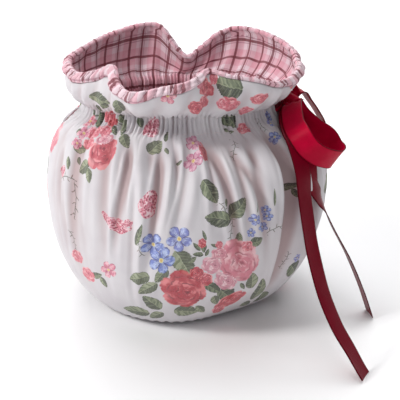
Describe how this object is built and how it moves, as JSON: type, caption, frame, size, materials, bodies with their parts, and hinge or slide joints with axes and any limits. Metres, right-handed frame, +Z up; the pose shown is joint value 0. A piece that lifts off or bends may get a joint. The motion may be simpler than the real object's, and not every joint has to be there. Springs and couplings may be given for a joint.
{
  "type": "tea cosy",
  "caption": "Gathered padded cotton tea cosy that wraps a teapot, with spout and handle slots, an elasticated neck, a frilled check-lined collar and a ribbon bow.",
  "frame": {"origin": "centre of the footprint box, ribbon tails included, at the level of the hem", "axes": "+Z up from the hem to the frill, -Y to the front, +X to the handle side, where the bow is, and -X to the spout side"},
  "size_m": [0.21, 0.2186, 0.1695],
  "materials": {
    "print_cotton": "matt floral print on white",
    "check_cotton": "matt woven pink check",
    "ribbon_satin": "crimson satin"
  },
  "bodies": {
    "root": {"front_panel": "print_cotton", "back_panel": "print_cotton", "front_lining": "check_cotton", "back_lining": "check_cotton", "ribbon_knot": "ribbon_satin", "ribbon_near_loop": "ribbon_satin", "ribbon_far_loop": "ribbon_satin", "ribbon_near_tail": "ribbon_satin", "ribbon_far_tail": "ribbon_satin", "ribbon_front_tie": "ribbon_satin", "ribbon_back_tie": "ribbon_satin"}
  },
  "joints": []
}
